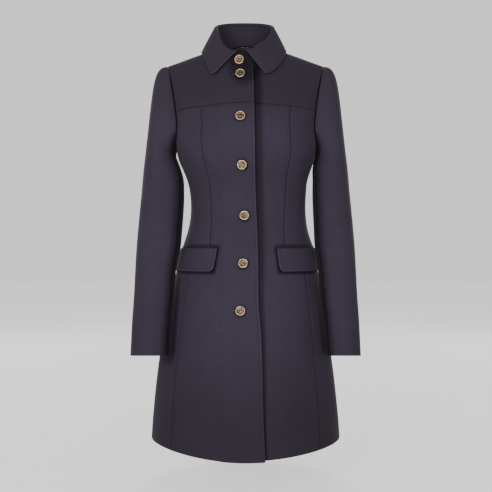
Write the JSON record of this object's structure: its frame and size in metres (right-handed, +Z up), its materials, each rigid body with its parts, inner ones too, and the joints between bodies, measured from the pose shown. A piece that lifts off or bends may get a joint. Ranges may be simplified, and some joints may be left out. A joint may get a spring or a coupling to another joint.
{
  "type": "overcoat",
  "caption": "Woman's fitted knee-length wool overcoat with an A-line skirt, turn-down collar, front yoke, princess seams, flap pockets and a buttoned front, filled out as worn.",
  "frame": {"origin": "midway between the shoulders, where the wearer holds the coat up, at about the height of the neck seam's side points", "axes": "+Z up, -Y towards the coat's front, +X towards the wearer's left"},
  "size_m": [0.485, 0.3627, 0.9582],
  "materials": {
    "melton": "matte milled wool with a short nap",
    "button_metal": "polished rim with a darker dished middle"
  },
  "bodies": {
    "root": {"front_right": "melton", "front_left": "melton", "side_front_right": "melton", "side_front_left": "melton", "front_yoke_right": "melton", "front_yoke_left": "melton", "side_back_right": "melton", "side_back_left": "melton", "back_right": "melton", "back_left": "melton", "sleeve_upper_right": "melton", "sleeve_upper_left": "melton", "sleeve_under_right": "melton", "sleeve_under_left": "melton", "collar_stand": "melton", "collar_leaf": "melton", "pocket_flap_right": "melton", "pocket_flap_left": "melton", "button_1": "button_metal", "button_2": "button_metal", "button_3": "button_metal", "button_4": "button_metal", "button_5": "button_metal", "button_6": "button_metal", "button_7": "button_metal"}
  },
  "joints": []
}
